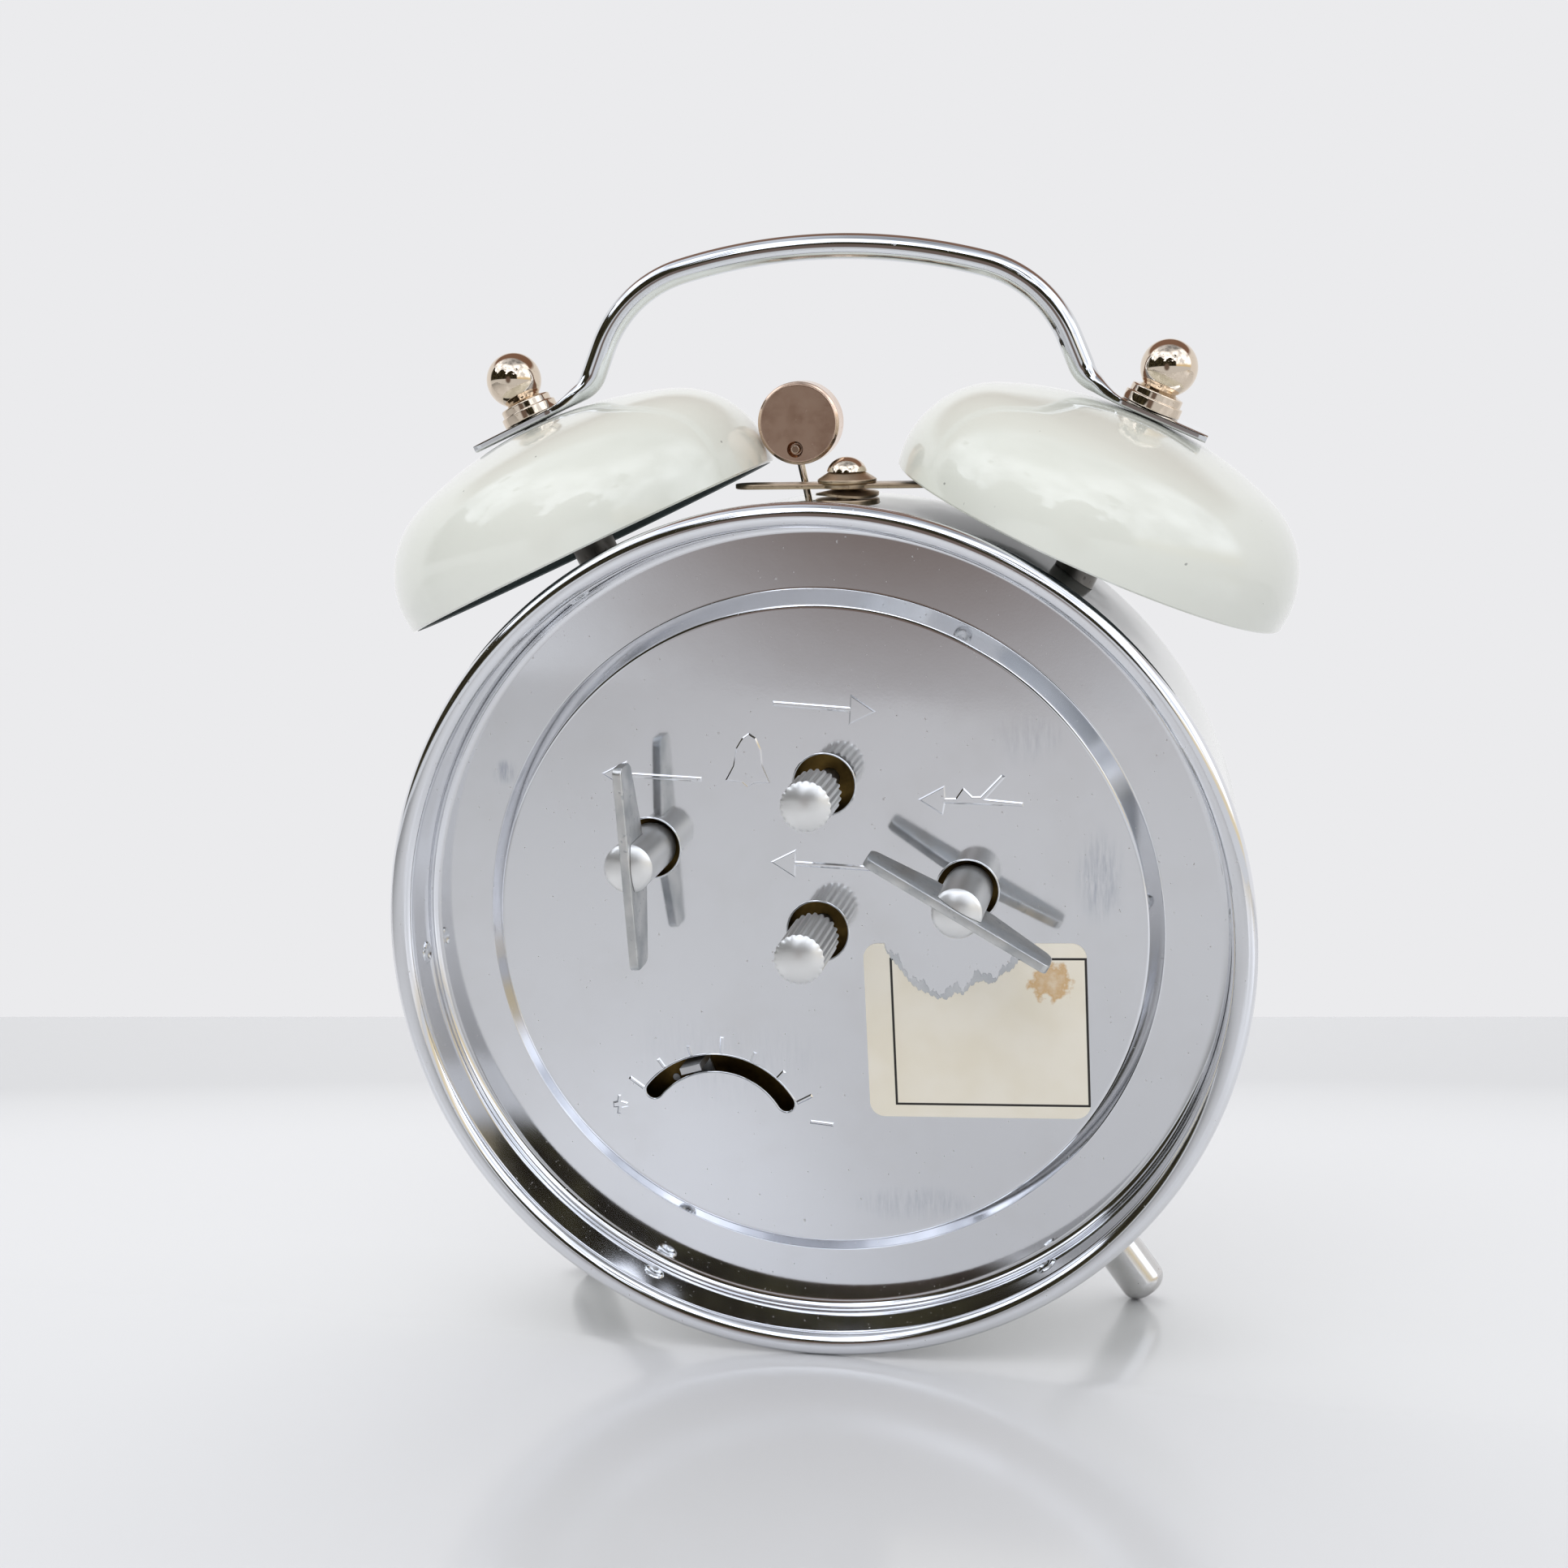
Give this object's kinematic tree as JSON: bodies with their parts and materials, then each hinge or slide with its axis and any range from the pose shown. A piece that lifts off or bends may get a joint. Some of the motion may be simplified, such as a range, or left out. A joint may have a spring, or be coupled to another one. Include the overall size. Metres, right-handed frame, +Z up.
{
  "type": "mechanical alarm clock",
  "caption": "Free-standing wind-up twin bell alarm clock with a round metal case, bent carrying handle, hammer, stop lever, winding keys and setting knobs on its back.",
  "frame": {"origin": "middle of the bounding box on the floor that the feet and the rear rim stand on", "axes": "+Z up, dial towards -Y, winding keys and knobs towards +Y, +X to the right as seen from the dial"},
  "size_m": [0.1246, 0.0634, 0.1508],
  "materials": {
    "white_enamel": "glossy enamel",
    "chrome_plate": "bright plating",
    "nickel_plate": "warm nickel plating",
    "plain_steel": "bright steel",
    "turned_aluminium": "bright turned",
    "brass": "plain rolled",
    "clear_glass": "clear",
    "dial_card": "matt white",
    "black_hands": "matt black",
    "cream_paper": "uncoated"
  },
  "bodies": {
    "case": {"case_drum": "white_enamel", "back_cover": "chrome_plate", "paper_label": "cream_paper", "front_bezel": "chrome_plate", "dial_glass": "clear_glass", "dial_ring": "dial_card", "dial": "dial_card", "foot_left": "chrome_plate", "foot_right": "chrome_plate", "case_nuts": "plain_steel", "bell_left": "white_enamel", "bell_post_left": "nickel_plate", "ball_nut_left": "nickel_plate", "bell_right": "white_enamel", "bell_post_right": "nickel_plate", "ball_nut_right": "nickel_plate", "handle": "chrome_plate", "stop_washer": "nickel_plate", "stop_spring": "nickel_plate", "back_plate": "brass", "front_plate": "brass", "plate_pillars": "plain_steel", "pillar_nuts": "plain_steel", "dial_pillars": "plain_steel", "hairspring": "plain_steel", "time_mainspring": "plain_steel", "alarm_mainspring": "plain_steel"},
    "time_key": {"time_key_hub": "turned_aluminium", "time_key_wing": "turned_aluminium", "time_winding_arbor": "plain_steel"},
    "alarm_key": {"alarm_key_hub": "turned_aluminium", "alarm_key_wing": "turned_aluminium", "alarm_winding_arbor": "plain_steel"},
    "time_set": {"time_set_knob": "turned_aluminium", "centre_arbor": "plain_steel", "minute_hand": "black_hands"},
    "minute_wheel": {"minute_wheel": "brass"},
    "hour": {"hour_wheel": "brass", "hour_hand": "black_hands"},
    "alarm_release": {"alarm_wheel": "brass"},
    "alarm_set": {"alarm_set_knob": "turned_aluminium", "alarm_set_arbor": "plain_steel", "alarm_hand": "black_hands"},
    "great": {"great_wheel": "brass"},
    "centre": {"centre_wheel": "brass"},
    "third": {"third_wheel": "brass"},
    "fourth": {"fourth_wheel": "brass"},
    "escape": {"escape_wheel": "brass"},
    "pallet": {"pallet": "plain_steel"},
    "balance": {"balance": "brass"},
    "regulator": {"regulator_lever": "plain_steel"},
    "alarm_great": {"alarm_great_wheel": "brass"},
    "alarm_escape": {"alarm_escape_wheel": "brass"},
    "hammer": {"hammer_disc": "nickel_plate", "hammer_wire": "nickel_plate", "hammer_arbor": "plain_steel"},
    "stop_lever": {"stop_lever": "nickel_plate", "stop_cone": "nickel_plate", "stop_spindle": "nickel_plate"}
  },
  "joints": [
    {"name": "time_key_turn", "type": "hinge", "parent": "case", "child": "time_key", "pos_m": [-0.02003, 0.00089, 0.06564], "axis": [0, 0.9909, -0.1343], "range_deg": [0, 1620]},
    {"name": "alarm_key_turn", "type": "hinge", "parent": "case", "child": "alarm_key", "pos_m": [0.02254, 0.00155, 0.07056], "axis": [0, 0.9909, -0.1343], "range_deg": [0, 1620]},
    {"name": "time_set_turn", "type": "hinge", "parent": "case", "child": "time_set", "pos_m": [0, 0.00008, 0.05968], "axis": [0, 0.9909, -0.1343], "continuous": true},
    {"name": "minute_wheel_turn", "type": "hinge", "parent": "case", "child": "minute_wheel", "pos_m": [-0.01145, -0.0006, 0.0547], "axis": [0, 0.9909, -0.1343], "continuous": true},
    {"name": "hour_turn", "type": "hinge", "parent": "case", "child": "hour", "pos_m": [0, 0.00008, 0.05968], "axis": [0, 0.9909, -0.1343], "continuous": true},
    {"name": "alarm_wheel_turn", "type": "hinge", "parent": "case", "child": "alarm_release", "pos_m": [-0.00129, 0.00276, 0.07946], "axis": [0, 0.9909, -0.1343], "continuous": true},
    {"name": "alarm_set_turn", "type": "hinge", "parent": "case", "child": "alarm_set", "pos_m": [-0.00129, 0.00276, 0.07946], "axis": [0, 0.9909, -0.1343], "continuous": true},
    {"name": "great_wheel_turn", "type": "hinge", "parent": "case", "child": "great", "pos_m": [-0.02003, 0.00089, 0.06564], "axis": [0, 0.9909, -0.1343], "continuous": true},
    {"name": "centre_wheel_turn", "type": "hinge", "parent": "case", "child": "centre", "pos_m": [0, 0.00008, 0.05968], "axis": [0, 0.9909, -0.1343], "continuous": true},
    {"name": "third_wheel_turn", "type": "hinge", "parent": "case", "child": "third", "pos_m": [-0.00467, -0.00226, 0.04245], "axis": [0, 0.9909, -0.1343], "continuous": true},
    {"name": "fourth_wheel_turn", "type": "hinge", "parent": "case", "child": "fourth", "pos_m": [0.01053, -0.00202, 0.04417], "axis": [0, 0.9909, -0.1343], "continuous": true},
    {"name": "escape_wheel_turn", "type": "hinge", "parent": "case", "child": "escape", "pos_m": [0.02212, -0.00174, 0.0463], "axis": [0, 0.9909, -0.1343], "continuous": true},
    {"name": "pallet_rock", "type": "hinge", "parent": "case", "child": "pallet", "pos_m": [0.02109, -0.00294, 0.0374], "axis": [0, 0.9909, -0.1343], "range_deg": [-2, 2]},
    {"name": "balance_swing", "type": "hinge", "parent": "case", "child": "balance", "pos_m": [0.01447, -0.00395, 0.02992], "axis": [0, 0.9909, -0.1343], "range_deg": [-135, 135], "stiffness_Nm_per_rad": 0.000015},
    {"name": "regulator_turn", "type": "hinge", "parent": "case", "child": "regulator", "pos_m": [0.01447, -0.00395, 0.02992], "axis": [0, 0.9909, -0.1343], "range_deg": [-64, 24]},
    {"name": "alarm_great_turn", "type": "hinge", "parent": "case", "child": "alarm_great", "pos_m": [0.02254, 0.00155, 0.07056], "axis": [0, 0.9909, -0.1343], "continuous": true},
    {"name": "alarm_escape_turn", "type": "hinge", "parent": "case", "child": "alarm_escape", "pos_m": [0.00979, 0.00369, 0.08632], "axis": [0, 0.9909, -0.1343], "continuous": true},
    {"name": "hammer_swing", "type": "hinge", "parent": "case", "child": "hammer", "pos_m": [-0.0011, 0.00402, 0.0888], "axis": [0, 0.9909, -0.1343], "range_deg": [-14.2, 0]},
    {"name": "stop_lever_turn", "type": "hinge", "parent": "case", "child": "stop_lever", "pos_m": [-0.0028, 0.00679, 0.10923], "axis": [0, 0.1343, 0.9909], "range_deg": [0, 30]}
  ],
  "couplings": [
    {"joint": "minute_wheel_turn", "follows": "time_set_turn", "ratio": -0.33333},
    {"joint": "hour_turn", "follows": "time_set_turn", "ratio": 0.083333},
    {"joint": "alarm_wheel_turn", "follows": "time_set_turn", "ratio": -0.083333},
    {"joint": "great_wheel_turn", "follows": "centre_wheel_turn", "ratio": -0.13333},
    {"joint": "third_wheel_turn", "follows": "centre_wheel_turn", "ratio": -8},
    {"joint": "escape_wheel_turn", "follows": "fourth_wheel_turn", "ratio": -8},
    {"joint": "alarm_escape_turn", "follows": "alarm_great_turn", "ratio": -7.5}
  ]
}
